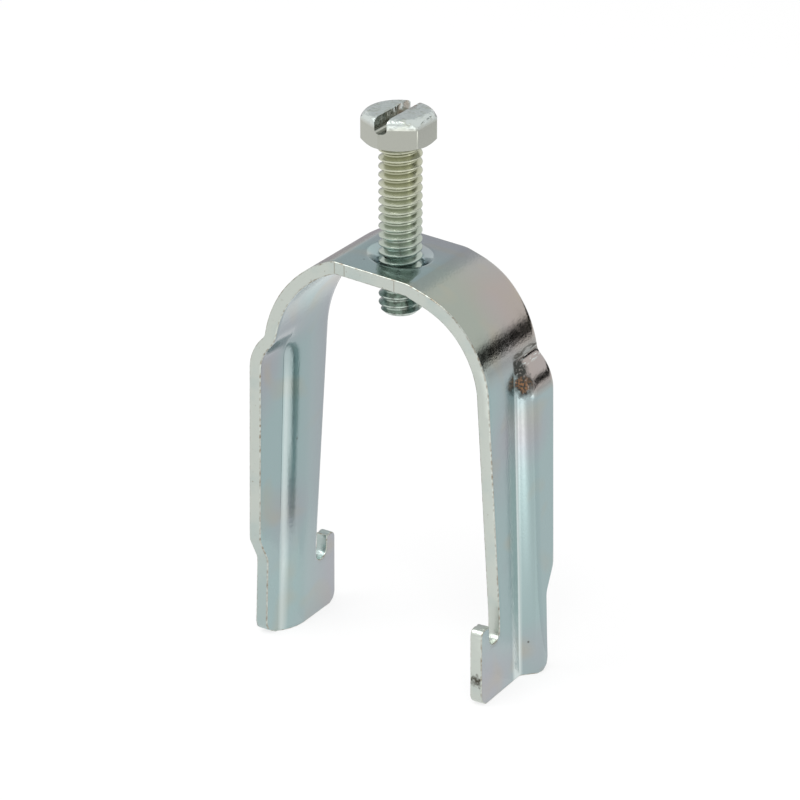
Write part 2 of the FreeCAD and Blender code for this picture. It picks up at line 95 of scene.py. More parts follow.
class StrapSizes(bpy.types.PropertyGroup):
    """Sizes of the folded strap."""
    height: length("Height", "Crown's top above the feet", STRAP_HIGH[2] / MM)
    thickness: length("Sheet", "Thickness of the sheet", 1.9)
    width: length("Width", "Width of the strip at the crown", 16.4)
    inside: length("Inside width", "Clear width between the legs where the arches spring", 32.0)
    arch: length("Arch radius", "Outer radius of each arch", 17.0)
    crown_half: length("Half crown", "Half the length of the flat crown, to its bend", 6.0)
    crown_bend: length("Crown bend", "Outer radius where crown and arch meet", 3.0)
    crown_lean: angle("Crown lean", "How far the crown leans from level, as it was folded", 4.2)
    lean_hinge: length("Lean hinge", "Where the leaning crown keeps its level, from the middle", 4.2)
    lean_end: length("Lean end", "Where the arches have lost the crown's lean, from the middle", 14.0)
    splay: angle("Splay", "Lean of each leg", 1.2)
    emboss: length("Emboss depth", "How far the stiffened half of a leg stands out", 2.44)
    emboss_drop: length("Emboss drop", "Distance down the leg to the emboss's full depth", 3.49)
    dome: length("Dome radius", "Outer radius of the emboss's upper end", 7.0)
    dome_root: length("Dome root", "Outer fillet between arch and emboss", 2.0)
    recess_end: length("Recess end", "Inner radius of the emboss's upper end", 5.5)
    recess_lip: length("Recess lip", "Inner round between arch and recess", 5.0)
    jog_high: length("Jog above", "Outer crease of the jog at the springing, from the strip's middle", 0.9)
    jog_low: length("Jog below", "Outer crease of the jog at the foot, from the strip's middle", 2.2)
    jog_root: length("Jog root", "Fillet in the outer crease of the jog", 0.6)
    jog_round: length("Jog round", "Outer round where the jog reaches its full depth", 2.2)
    recess_high: length("Recess above", "Inner crease of the jog at the springing, from the middle", 3.1)
    recess_low: length("Recess below", "Inner crease of the jog at the foot, from the middle", 4.5)
    recess_rim: length("Recess rim", "Inner round where the sheet turns into the recess", 7.0)
    recess_root: length("Recess root", "Fillet in the inner crease of the jog", 0.4)
    jog_slope: angle("Jog slope", "Slope of the jog's outer wall", 78)
    recess_slope: angle("Recess slope", "Slope of the jog's inner wall", 40)
    recess_depth: length("Recess depth", "Depth of the recess along its crease, less than at the edge", 1.85)
    foot_slope: angle("Foot slope", "Slope of both walls at the foot", 42)
    slope_fade: length("Slope fade", "Height up to which the walls ease to the foot's slope", 20.0)
    spring_half: length("Half width at springing", "Hook-side edge where the arches spring", 6.05)
    neck_half: length("Half neck", "Hook-side edge at the notch", 3.42)
    notch_width: length("Notch width", "Width of the notch", 2.85)
    notch_floor: length("Notch floor", "Height of the notch's floor", 8.75)
    notch_round: length("Notch round", "Corner radius of the notch's floor", 1.3)
    hook_width: length("Hook width", "Width of the standing hook", 2.25)
    hook_height: length("Hook height", "Hook's tip above the notch's floor", 3.3)
    hook_round: length("Hook round", "Corner radius of the hook's tip", 1.1)
    hook_flare: length("Hook flare", "How far the hook's outer edge leans out to the foot", 0.28)
    heel_round: length("Heel round", "Radius of the foot's corner below the hook", 1.8)
    foot_half: length("Half foot", "Stiffened edge from the middle at the foot", 6.45)
    foot_round: length("Foot round", "Radius of the foot's stiffened corner", 2.4)
    shoulder_half: length("Half shoulder", "Stiffened edge just below the shoulder", 6.15)
    shoulder_low: length("Shoulder's foot", "Height of the shoulder's lower end", 12.6)
    shoulder_high: length("Shoulder's top", "Height of the shoulder's upper end", 16.4)
    shoulder_round: length("Shoulder round", "Radius of both bends of the shoulder", 2.2)
    bore: length("Bore", "Radius of the tapped collar's hole", 3.15)
    funnel: length("Funnel", "How far the drawn-in mouth of the hole widens", 1.7)
    funnel_rim: angle("Funnel rim", "Slope of the mouth where it meets the crown", 30)
    collar_drop: length("Collar drop", "How far the collar reaches below the sheet", 1.75)
    collar_wall: length("Collar wall", "Wall of the drawn collar", 1.25)
    collar_root: length("Collar root", "Fillet between collar and sheet", 0.85)
    edge_round: length("Edge round", "Small round along the sheared edges", 0.16)


class ScrewSizes(bpy.types.PropertyGroup):
    """Sizes of the slotted hex screw."""
    tip: length("Tip", "Height of the screw's tip", SCREW_LOW[2] / MM)
    top: length("Top", "Height of the head's top", SCREW_HIGH[2] / MM)
    radius: length("Thread radius", "Outside radius of the thread", 3.1)
    pitch: length("Pitch", "Distance from one turn of the thread to the next", 1.27)
    depth: length("Thread depth", "Depth of the thread", 0.66)
    tip_chamfer: length("Tip chamfer", "Chamfer at the tip", 0.7)
    runout: length("Run-out", "How far below the head the thread begins to fade", 1.143)
    flats: length("Flats", "Width across the flats of the head", 9.35)
    head: length("Head height", "Height of the head", 4.5)
    dome: length("Head round", "Height of the round from the head's top to its corners", 1.9)
    dome_flat: length("Head flat", "Radius of the flat in the middle of the head's top", 3.8)
    corner_round: length("Head corners", "Bevel of the head's six corners", 0.3)
    foot_chamfer: length("Head chamfer", "Height of the chamfer under the head's corners", 0.54)
    slot_width: length("Slot width", "Width of the screwdriver slot", 2.0)
    slot_depth: length("Slot depth", "Depth of the screwdriver slot", 2.05)
    slot_round: length("Slot round", "Radius along the slot's floor", 0.55)
    head_aside: length("Head aside", "How far the upset head sits off the thread's axis", 0.25)
    edge_round: length("Edge round", "Small round along the head's edges", 0.14)


class ClampFinishes(bpy.types.PropertyGroup):
    """Colours of the plated finishes."""
    zinc: colour("Zinc", "Bright zinc plate under clear chromate", "#9FB3B3")
    zinc_warm: colour("Warm tint", "Where the chromate turns grey-green on the arches", "#A0A79D")
    zinc_violet: colour("Violet tint", "Where the chromate turns violet", "#A8A3AA")
    zinc_pink: colour("Pink tint", "Where the chromate turns pink, low on the arches", "#ADA29C")
    zinc_straw: colour("Straw tint", "Where the chromate turns straw yellow", "#B2A994")
    # Pale zinc: burnish on the head's top, a pale band under each dome's root, and a painted highlight along
    # the jog's creases
    burnished: colour("Burnished", "Where press or screwdriver has burnished the plate", "#D6E0DE")
    pit: colour("Pit", "Pinholes, scuffs and knocks in the plate", "#4C4A41")
    stain: colour("Stain", "Bare steel round the rust", "#23251F")
    edge: colour("Sheared edge", "Zinc over the torn edge of the sheet", "#BEC4BD")
    burr: colour("Burr", "Thin brownish line along the burr", "#857A69")
    rust: colour("Rust", "Rust where the plate is broken", "#7F5733")
    thread: colour("Thread", "Yellowish zinc on the thread's crests", "#BFC1AC")
    # Painted shade in the thread's valleys, also the darker scrapes on the head's top
    valley: colour("Thread valley", "Darker zinc between the crests", "#A6A890")
    head: colour("Head", "Neutral zinc on the screw's head", "#ABADA4")


def deselect():
    """Leaves edit mode with nothing selected."""
    if bpy.context.object and bpy.context.object.mode != "OBJECT":
        bpy.ops.object.mode_set(mode="OBJECT")
    bpy.ops.object.select_all(action="DESELECT")


def activate(piece, *others):
    """Selects a piece, with others if there are any, and makes it the active one."""
    deselect()
    for part in (piece, *others):
        part.select_set(True)
    bpy.context.view_layer.objects.active = piece


def extrude(step):
    """Extrudes what is selected by a step."""
    bpy.ops.mesh.extrude_region_move(TRANSFORM_OT_translate={"value": step})


def draw_chain(name, points):
    """Starts a piece as a chain of edges, by extruding one vertex from point to point."""
    deselect()
    bpy.ops.mesh.primitive_plane_add(size=MM)
    piece = bpy.context.object
    piece.name = name
    piece.data.name = name
    bpy.ops.object.mode_set(mode="EDIT")
    bpy.ops.mesh.select_mode(type="VERT")
    bpy.ops.mesh.select_all(action="SELECT")
    bpy.ops.mesh.merge(type="CENTER")
    bpy.ops.transform.translate(value=points[0])
    for here, there in zip(points, points[1:]):
        extrude(Vector(there) - Vector(here))
    return piece


def pick(piece, kind, wanted):
    """Selects, in edit mode, only the vertices, edges or faces that pass a test."""
    modes = {"verts": "VERT", "edges": "EDGE", "faces": "FACE"}
    bpy.ops.mesh.select_mode(type=modes[kind])
    bpy.ops.mesh.select_all(action="DESELECT")
    mesh = bmesh.from_edit_mesh(piece.data)
    chosen = [part for part in getattr(mesh, kind) if wanted(part)]
    for part in chosen:
        part.select_set(True)
    mesh.select_flush_mode()
    bmesh.update_edit_mesh(piece.data)
    if not chosen:
        raise RuntimeError(f"{piece.name}: nothing to select")


def reshape(piece, moved):
    """Moves every vertex to the place that a function gives for it."""
    bpy.ops.object.mode_set(mode="OBJECT")
    for vertex in piece.data.vertices:
        vertex.co = moved(vertex.co)
    piece.data.update()
    bpy.ops.object.mode_set(mode="EDIT")


def merge_doubles():
    """Merges vertices that lie at the same spot."""
    bpy.ops.mesh.select_all(action="SELECT")
    bpy.ops.mesh.remove_doubles(threshold=SAME_SPOT)


def finish_shell():
    """Merges doubles, turns every face outwards and leaves edit mode."""
    merge_doubles()
    bpy.ops.mesh.normals_make_consistent(inside=False)
    bpy.ops.object.mode_set(mode="OBJECT")


def apply_modifier(piece, kind, **settings):
    """Adds a modifier to a piece, sets it up and applies it."""
    activate(piece)
    bpy.ops.object.modifier_add(type=kind)
    modifier = piece.modifiers[-1]
    for setting, choice in settings.items():
        setattr(modifier, setting, choice)
    bpy.ops.object.modifier_apply(modifier=modifier.name)


def cut(piece, tool, operation):
    """Combines a piece with a tool body, which is used up."""
    apply_modifier(piece, "BOOLEAN", operation=operation, solver="EXACT", object=tool)
    bpy.data.objects.remove(tool, do_unlink=True)


def join(piece, *others):
    """Joins other objects into a piece and goes to edit mode."""
    activate(piece, *others)
    bpy.ops.object.join()
    bpy.ops.object.mode_set(mode="EDIT")


def round_edges(piece, width, least, **settings):
    """Rounds a piece's edges that turn by at least so many degrees."""
    apply_modifier(
        piece, "BEVEL", width=width, segments=2, limit_method="ANGLE", angle_limit=math.radians(least),
        **settings)


def smooth(piece, most):
    """Shades a piece smooth over edges that turn by at most so many degrees."""
    activate(piece)
    bpy.ops.object.shade_smooth_by_angle(angle=math.radians(most))
    apply_modifier(piece, "WEIGHTED_NORMAL", weight=50, keep_sharp=True)


def lathe(name, profile):
    """Spins a profile of radius and height round the Z axis."""
    piece = draw_chain(name, [(radius, 0.0, height) for radius, height in profile])
    bpy.ops.mesh.select_all(action="SELECT")
    bpy.ops.mesh.spin(steps=ROUND_STEPS, angle=2 * math.pi, center=(0, 0, 0), axis=(0, 0, 1))
    finish_shell()
    return piece


def arc_points(middle, radius, begin, finish, steps):
    """Lists points on an arc, from one angle to another."""
    turns = between(begin, finish, steps)
    return [(middle[0] + radius * math.cos(a), middle[1] + radius * math.sin(a)) for a in turns]


def between(start, finish, steps):
    """Lists evenly spaced values, both ends included."""
    return [start + (finish - start) * k / steps for k in range(steps + 1)]


def through(start, stops):
    """Lists values from a start through stops, each with its number of even steps."""
    values = [start]
    for stop, steps in stops:
        values += between(start, stop, steps)[1:]
        start = stop
    return values


def portion(value, whole):
    """Gives the share that a value is of a whole, between 0 and 1."""
    return min(1.0, max(0.0, value / whole))


def eased(share):
    """Softens the start and the end of a share."""
    return share * share * (3 - 2 * share)


def settle(piece, body, node):
    """Declares what carries a finished piece, and hides the imported part that it stands for."""
    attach(piece, body)
    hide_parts(node)


class PressedSkin:
    """How one skin of the sheet is pressed: the emboss's round upper end, and the jog along its side."""

    def __init__(self, shape, base, end_radius, lip_radius):
        """Places the circle of the upper end, and the fillet that joins it to the arch."""
        self.sizes, self.spring_height = shape.sizes, shape.spring.z
        self.base, self.emboss = base, shape.sizes.emboss
        self.end_radius, self.lip_radius = end_radius, lip_radius
        self.end_middle = Vector((base + self.emboss - end_radius, shape.sizes.emboss_drop))
        far, near = base + lip_radius, end_radius + lip_radius
        apart = self.end_middle.length
        along = (far ** 2 - near ** 2 + apart ** 2) / (2 * apart)
        aside = math.sqrt(far ** 2 - along ** 2)
        axis = self.end_middle / apart
        self.lip_middle = axis * along + Vector((axis.y, -axis.x)) * aside

    def rise(self, reach):
        """Gives the share of the emboss's depth that is reached at a place along arch and leg."""
        if reach.y >= 0:
            short = min(0.0, reach.y - self.end_middle.y)
            sagitta = math.sqrt(self.end_radius ** 2 - short ** 2)
            return (self.end_middle.x + sagitta - self.base) / self.emboss
        ray = reach.normalized()
        if ray.y < self.lip_middle.normalized().y:
            return 0.0
        touch = self.end_middle + (self.lip_middle - self.end_middle).normalized() * self.end_radius
        if ray.y > touch.normalized().y:
            crossing = crossings(ray, self.end_middle, self.end_radius)[1]
        else:
            crossing = crossings(ray, self.lip_middle, self.lip_radius)[0]
        return (crossing - self.base) / self.emboss

    def section(self, height):
        """Lists the jog's columns at a height: place across the strip, and share of the emboss's depth.

        The crease leans from springing to foot, and the wall eases to a gentler slope at the foot.
        """
        sizes, (high, low) = self.sizes, self.creases
        crease = low + (high - low) * portion(height, self.spring_height)
        steeper = eased(portion(height, sizes.slope_fade))
        slope = sizes.foot_slope + (self.plain_slope - sizes.foot_slope) * steeper
        line = jog_line(*self.bends, slope, self.depth, self.first_steps)
        first = crease - line[self.crease_end][0]
        return [(first + across, share * self.depth / self.emboss) for across, share in line]


class OuterSkin(PressedSkin):
    """The outer skin: a sharp crease, a steep wall and a wide round."""
    first_steps, crease_end = 5, 0

    def __init__(self, shape):
        sizes = shape.sizes
        super().__init__(shape, sizes.arch, sizes.dome, sizes.dome_root)
        self.creases = sizes.jog_high, sizes.jog_low
        self.bends = sizes.jog_root, sizes.jog_round
        self.plain_slope, self.depth = sizes.jog_slope, sizes.emboss


class InnerSkin(PressedSkin):
    """The inner skin: a wide rim, a sloping wall and a sharp crease along the recess."""
    first_steps, crease_end = 9, -1

    def __init__(self, shape):
        sizes = shape.sizes
        super().__init__(shape, sizes.arch - sizes.thickness, sizes.recess_end, sizes.recess_lip)
        self.creases = sizes.recess_high, sizes.recess_low
        self.bends = sizes.recess_rim, sizes.recess_root
        self.plain_slope, self.depth = sizes.recess_slope, sizes.recess_depth


def jog_line(first_bend, last_bend, slope, depth, first_steps):
    """Lists a jog from its start, as (across, share of depth): a bend, a straight wall and a second bend.

    first_steps is the number of steps round the first bend.
    """
    slope = min(slope, math.acos(max(-1.0, 1 - depth / (first_bend + last_bend))))
    fall = 1 - math.cos(slope)
    wall = (depth - (first_bend + last_bend) * fall) / math.tan(slope)
    span = (first_bend + last_bend) * math.sin(slope) + wall
    line = [(first_bend * math.sin(turn), first_bend * (1 - math.cos(turn)) / depth)
            for turn in between(0.0, slope, first_steps)]
    line += [(span - last_bend * math.sin(turn), 1 - last_bend * (1 - math.cos(turn)) / depth)
             for turn in between(slope, 0.0, JOG_COLUMNS - first_steps - 2)]
    return line


class StrapShape:
    """Works out where the strap's sheet runs, at the middle of its thickness."""

    def __init__(self, sizes):
        self.sizes = sizes
        half = sizes.thickness / 2
        self.arch_x = sizes.inside / 2 + sizes.thickness - sizes.arch
        self.arch_z = sizes.height - math.sqrt(sizes.arch ** 2 - (sizes.crown_half - self.arch_x) ** 2)
        self.radius = sizes.arch - half
        self.top = sizes.height - half
        self.bend_z = sizes.height - sizes.crown_bend
        reach = sizes.arch - sizes.crown_bend
        self.bend_x = self.arch_x + math.sqrt(reach ** 2 - (self.bend_z - self.arch_z) ** 2)
        self.bend_angle = math.asin((self.bend_x - self.arch_x) / reach)
        self.out = Vector((math.cos(sizes.splay), 0, math.sin(sizes.splay)))
        self.down = Vector((math.sin(sizes.splay), 0, -math.cos(sizes.splay)))
        self.center = Vector((self.arch_x, 0, self.arch_z))
        self.spring = self.center + self.out * self.radius
        self.hook_in = -(sizes.neck_half + sizes.notch_width)
        self.hook_out = self.hook_in - sizes.hook_width
        self.hook_tip = sizes.notch_floor + sizes.hook_height
        self.hole = sizes.bore + sizes.collar_wall + sizes.collar_root
        self.outer, self.inner = OuterSkin(self), InnerSkin(self)
        foot_corner = sizes.foot_half - sizes.foot_round
        self.jog = between(sizes.jog_high - sizes.jog_root, foot_corner, JOG_COLUMNS - 1)

    def columns(self):
        """Lists where the strip's columns lie across the blank, from its hook side."""
        half_width, side_columns = self.sizes.width / 2, 6
        hook_side = between(-half_width, self.jog[0], side_columns)
        stiff_side = between(self.jog[-1], half_width, side_columns)
        return hook_side[:-1] + self.jog + stiff_side[1:]

    def rows(self):
        """Lists the heights of the leg's rows, from just below the springing to the foot."""
        sizes = self.sizes
        return through(self.spring.z, (
            (self.spring.z - sizes.emboss_drop, 14),
            (sizes.shoulder_high + sizes.shoulder_round, 14),
            (self.hook_tip, 14),
            (sizes.notch_floor + sizes.notch_round, 4),
            (sizes.notch_floor, 5),
            (sizes.foot_round, 7),
            (0.0, 6),
        ))[1:]

    def hook_edge(self, height):
        """Gives the hook-side edge of the strip at a height."""
        sizes = self.sizes
        stops = [
            (sizes.height - sizes.thickness, -sizes.width / 2),
            (self.arch_z, -sizes.spring_half),
            (self.hook_tip, -sizes.neck_half),
        ]
        return follow(stops, height)

    def stiff_edge(self, height):
        """Gives the stiffened edge of the strip at a height, with the shoulder's bends rounded."""
        sizes = self.sizes
        corners = [
            Vector((sizes.width / 2, sizes.height)),
            Vector((sizes.width / 2, sizes.shoulder_high)),
            Vector((sizes.shoulder_half, sizes.shoulder_low)),
            Vector((sizes.foot_half, 0.0)),
        ]
        path = rounded(corners, sizes.shoulder_round)
        return follow([(spot.y, spot.x) for spot in path], height)

    def place(self, spot):
        """Tells where a spot lies along the sheet: its height, and its reach out of and down the arch."""
        reach = spot - self.center
        return spot.z, Vector((reach.dot(self.out), reach.dot(self.down)))

    def along_leg(self, drop):
        """Gives the step down the splayed leg that comes down by a drop."""
        return self.down * (drop / math.cos(self.sizes.splay))

    def slide(self, spot, across, height):
        """Moves a spot of the leg to another place across it, and along it to another height."""
        return Vector((spot.x, across, spot.z)) - self.down * (height - spot.z)

    def skin_at(self, reach):
        """Tells which skin of the plain sheet a place along it lies on."""
        distance = reach.x if reach.y >= 0 else reach.length
        return self.outer if distance > self.radius else self.inner

    def outward(self, reach):
        """Gives the plain sheet's outward direction at a place along arch or leg."""
        if reach.y >= 0:
            return self.out
        ray = reach.normalized()
        return self.out * ray.x + self.down * ray.y


def follow(stops, height):
    """Follows a broken line of (height, value) stops, listed from the top down."""
    for (high, upper), (low, lower) in zip(stops, stops[1:]):
        if low <= height <= high:
            return lower + (upper - lower) * (height - low) / (high - low)
    return stops[0][1] if height > stops[0][0] else stops[-1][1]


def rounded(corners, radius, steps=8):
    """Rounds the inner corners of a broken line by arcs."""
    path = [corners[0]]
    for before, corner, after in zip(corners, corners[1:], corners[2:]):
        one, two = (before - corner).normalized(), (after - corner).normalized()
        half = one.angle(two) / 2
        middle = corner + (one + two).normalized() * (radius / math.sin(half))
        start = corner + one * (radius / math.tan(half))
        finish = corner + two * (radius / math.tan(half))
        for share in between(0.0, 1.0, steps):
            spoke = (start - middle).lerp(finish - middle, share).normalized()
            path.append(middle + spoke * radius)
    return path + [corners[-1]]


def crossings(ray, middle, radius):
    """Gives how far along a ray from the origin it meets a circle and leaves it."""
    along = ray.dot(middle)
    half = math.sqrt(max(0.0, along ** 2 - middle.length_squared + radius ** 2))
    return along - half, along + half


def round_corner(across, height, corner, radius, side):
    """Bends the square grid near a corner so that its border follows the corner's arc.

    side holds the directions, across and up, in which the corner points.
    """
    aside = (across - corner[0]) * side[0] / radius + 1.0
    upward = (height - corner[1]) * side[1] / radius + 1.0
    if aside <= 0 or upward <= 0:
        return across, height
    bent_aside = aside * math.sqrt(1 - upward ** 2 / 2)
    bent_upward = upward * math.sqrt(1 - aside ** 2 / 2)
    return corner[0] + (bent_aside - 1) * radius * side[0], corner[1] + (bent_upward - 1) * radius * side[1]


def fold_blank(shape):
    """Folds half of the plain strip: a row across the crown's bend, spun round both bends and drawn down.

    The rows are closer on the last stretch of the arch, where the dome begins.
    """
    row = [(shape.bend_x, across, shape.top) for across in shape.columns()]
    piece = draw_chain("folded_strap", row)
    bpy.ops.mesh.select_all(action="SELECT")
    dome_turn = math.radians(14)
    arch_turn = math.pi / 2 - shape.bend_angle - shape.sizes.splay - dome_turn
    for turn, steps, middle in (
        (shape.bend_angle, 7, (shape.bend_x, 0, shape.bend_z)),
        (arch_turn, 30, shape.center),
        (dome_turn, 34, shape.center),
    ):
        bpy.ops.mesh.spin(steps=steps, angle=turn, center=middle, axis=(0, -1, 0))
    height = shape.spring.z
    for mark in shape.rows():
        extrude(shape.along_leg(height - mark))
        height = mark
    return piece


def trim_blank(piece, shape):
    """Draws the strip's columns in to the outline of neck, shoulder and foot."""
    half_width = shape.sizes.width / 2
    first, last = shape.jog[0], shape.jog[-1]

    def moved(spot):
        across = spot.y
        if across < first - SAME_SPOT:
            edge = shape.hook_edge(spot.z)
            across = first + (across - first) * (edge - first) / (-half_width - first)
        elif across > last + SAME_SPOT:
            edge = shape.stiff_edge(spot.z)
            across = last + (across - last) * (edge - last) / (half_width - last)
        return Vector((spot.x, across, spot.z))

    reshape(piece, moved)


def press_emboss(piece, shape):
    """Presses one half of each leg outwards, each skin by its own section, and rounds the foot's corner."""
    sizes = shape.sizes
    first, last = shape.jog[0], shape.jog[-1]
    columns = {round(across / SAME_SPOT): place for place, across in enumerate(shape.jog)}

    def pressed(spot):
        height, reach = shape.place(spot)
        skin = shape.skin_at(reach)
        section = skin.section(height)
        across, share = spot.y, 0.0
        column = columns.get(round(across / SAME_SPOT))
        hook_edge, stiff_edge = shape.hook_edge(height), shape.stiff_edge(height)
        if column is not None:
            across, share = section[column]
        elif across > last:
            beyond = (across - last) / (stiff_edge - last)
            across = section[-1][0] + beyond * (stiff_edge - section[-1][0])
            share = section[-1][1] + beyond * (1 - section[-1][1])
        elif across > hook_edge:
            across = section[0][0] + (across - first) * (hook_edge - section[0][0]) / (hook_edge - first)
        across, level = round_corner(across, height, (sizes.foot_half, 0.0), sizes.foot_round, (1, -1))
        spot = shape.slide(spot, across, level)
        return spot + shape.outward(reach) * (sizes.emboss * skin.rise(reach) * share)

    def moved(spot):
        if abs(spot.x) < shape.bend_x + SAME_SPOT:
            return spot
        if spot.x > 0:
            return pressed(spot)
        half_turn = Vector((-1, -1, 1))
        return pressed(spot * half_turn) * half_turn

    reshape(piece, moved)


def raise_hook(piece, shape):
    """Extrudes the foot sideways below the notch, then the hook upwards, and rounds their corners."""
    sizes = shape.sizes
    neck, floor = -sizes.neck_half, sizes.notch_floor
    slope = sizes.hook_flare / shape.hook_tip

    def below_notch(edge):
        return all(vert.co.y < neck + NEAR and vert.co.z < floor + NEAR for vert in edge.verts)

    pick(piece, "edges", below_notch)
    places = through(neck, (
        (shape.hook_in, 8),
        (shape.hook_in - sizes.hook_round, 3),
        (shape.hook_out + sizes.hook_round, 1),
        (shape.hook_out, 3),
    ))
    for here, there in zip(places, places[1:]):
        extrude((0, there - here, 0))

    def hook_foot(edge):
        return all(vert.co.y < shape.hook_in + NEAR and abs(vert.co.z - floor) < NEAR for vert in edge.verts)

    pick(piece, "edges", hook_foot)
    heights = through(floor, (
        (floor + sizes.notch_round, 5),
        (shape.hook_tip - sizes.hook_round, 3),
        (shape.hook_tip, 3),
    ))
    for here, there in zip(heights, heights[1:]):
        extrude(shape.along_leg(here - there))

    def moved(spot):
        height, across = spot.z, spot.y
        if across > neck + NEAR or height > shape.hook_tip + NEAR:
            return spot
        if across > shape.hook_in - NEAR:
            return soften_notch(spot, shape)
        for corner, radius, side in (
            ((shape.hook_in, shape.hook_tip), sizes.hook_round, (1, 1)),
            ((shape.hook_out, shape.hook_tip), sizes.hook_round, (-1, 1)),
            ((shape.hook_out, 0.0), sizes.heel_round, (-1, -1)),
        ):
            across, height = round_corner(across, height, corner, radius, side)
        if spot.y < shape.hook_in - NEAR:
            lean = (shape.hook_in - across) / sizes.hook_width
            across -= slope * max(0.0, shape.hook_tip - height) * lean
        return soften_notch(shape.slide(spot, across, height), shape)

    reshape(piece, moved)


def soften_notch(spot, shape):
    """Draws the notch's border in to its rounded corners."""
    sizes, neck = shape.sizes, -shape.sizes.neck_half
    floor, radius = sizes.notch_floor, sizes.notch_round
    across, height = spot.y, spot.z
    at_wall = min(abs(across - shape.hook_in), abs(across - neck)) < NEAR
    on_floor = abs(height - floor) < NEAR and shape.hook_in - NEAR < across < neck + NEAR
    on_wall = at_wall and floor - NEAR < height < floor + radius
    if not (on_floor or on_wall):
        return spot
    for corner, side in (((neck, floor), (1, -1)), ((shape.hook_in, floor), (-1, -1))):
        across, height = round_corner(across, height, corner, radius, side)
    return shape.slide(spot, across, height)


def fill_crown(piece, shape):
    """Adds the other half by half a turn and fills the flat crown round its hole."""
    activate(piece)
    bpy.ops.object.duplicate()
    other = bpy.context.object
    other.data.transform(Matrix.Rotation(math.pi, 4, "Z"))
    join(piece, other)
    half_width = shape.sizes.width / 2
    for side in (half_width, -half_width):
        def corner(vert, side=side):
            return abs(vert.co.y - side) < NEAR and abs(abs(vert.co.x) - shape.bend_x) < NEAR

        pick(piece, "verts", corner)
        bpy.ops.mesh.edge_face_add()
    bpy.ops.mesh.primitive_circle_add(vertices=ROUND_STEPS, radius=shape.hole, location=(0, 0, shape.top))

    def on_crown(vert):
        return abs(vert.co.z - shape.top) < NEAR and abs(vert.co.x) < shape.bend_x + NEAR

    pick(piece, "edges", lambda edge: len(edge.link_faces) < 2 and all(map(on_crown, edge.verts)))
    bpy.ops.mesh.fill(use_beauty=True)
    finish_shell()


def draw_collar(shape):
    """Spins the drawn collar: funnel mouth, bore, lower rim, outer wall and the fillet under the sheet."""
    sizes = shape.sizes
    top, under = sizes.height, sizes.height - sizes.thickness
    low = under - sizes.collar_drop
    wall = sizes.bore + sizes.collar_wall
    lip = 0.2 * MM
    profile = [(shape.hole, top)]
    sweep = math.pi / 2 - sizes.funnel_rim
    mouth_round = sizes.funnel / (1 - math.cos(sweep))
    mouth = (sizes.bore + mouth_round, top - mouth_round * math.sin(sweep))
    profile += arc_points(mouth, mouth_round, math.pi - sweep, math.pi, steps=12)
    profile += [(sizes.bore, low + lip), (sizes.bore + lip, low), (wall - lip, low), (wall, low + lip)]
    root = (wall + sizes.collar_root, under - sizes.collar_root)
    profile += arc_points(root, sizes.collar_root, math.pi, math.pi / 2, steps=6)
    return lathe("collar", profile)


def add_thickness(piece, shape):
    """Gives the sheet its thickness, presses the legs, levels the feet and lets the collar into the crown."""
    sizes = shape.sizes
    apply_modifier(
        piece, "SOLIDIFY", thickness=sizes.thickness, offset=0.0, use_even_offset=True,
        use_quality_normals=True, use_rim=True, material_offset_rim=1)
    bpy.ops.object.mode_set(mode="EDIT")

    def on_wall(vert):
        return abs(math.hypot(vert.co.x, vert.co.y) - shape.hole) < NEAR and vert.co.z > shape.arch_z

    upright = 0.1
    pick(piece, "faces", lambda face: abs(face.normal.z) < upright and all(map(on_wall, face.verts)))
    bpy.ops.mesh.delete(type="FACE")
    press_emboss(piece, shape)
    foot_level = 0.1 * MM

    def levelled(spot):
        return Vector((spot.x, spot.y, 0.0)) if spot.z < foot_level else spot

    reshape(piece, levelled)
    collar = draw_collar(shape)
    collar.data.materials.append(piece.data.materials[0])
    join(piece, collar)
    lean_crown(piece, shape)
    finish_shell()


def lean_crown(piece, shape):
    """Leans the crown a little to one side, and lets the arches take up the lean."""
    sizes = shape.sizes

    def leaned(spot):
        beyond = portion(abs(spot.x) - sizes.crown_half, sizes.lean_end - sizes.crown_half)
        on_crown = max(-sizes.crown_half, min(sizes.crown_half, spot.x))
        drop = math.tan(sizes.crown_lean) * (on_crown + sizes.lean_hinge)
        on_arch = spot.z > shape.arch_z
        return spot - Vector((0, 0, drop * (1 - eased(beyond)))) if on_arch else spot

    reshape(piece, leaned)


class CLAMP_OT_strap(bpy.types.Operator):
    """Models the strap from its blank: folded, notched, thickened, embossed and rounded along its edges."""
    bl_idname = "clamp.strap"
    bl_label = "Folded Strap"

    def execute(self, context):
        sizes = context.scene.clamp_strap
        shape = StrapShape(sizes)
        piece = fold_blank(shape)
        trim_blank(piece, shape)
        raise_hook(piece, shape)
        fill_crown(piece, shape)
        finishes = context.scene.clamp_finishes
        for finish in (zinc_sheet(finishes, shape), sheared_edge(finishes), edge_burr(finishes)):
            piece.data.materials.append(finish)
        add_thickness(piece, shape)
        burr_slot, least_turn = 2, 50
        round_edges(piece, sizes.edge_round, least_turn, use_clamp_overlap=False, material=burr_slot)
        smooth(piece, least_turn)
        settle(piece, "strap_body", "strap")
        return {"FINISHED"}


def thread_profile(sizes, start):
    """Lists one turn of the rolled thread, from root to root: radius and height."""
    profile = []
    # The crest's flat and the flank, as shares of half a pitch
    crest, flank = 0.14, 0.68
    for share in between(0.0, 1.0, steps=12):
        from_crest = abs(share - 0.5) * 2
        fall = portion(from_crest - crest, flank)
        profile.append((sizes.radius - sizes.depth * fall, start + sizes.pitch * share))
    return profile


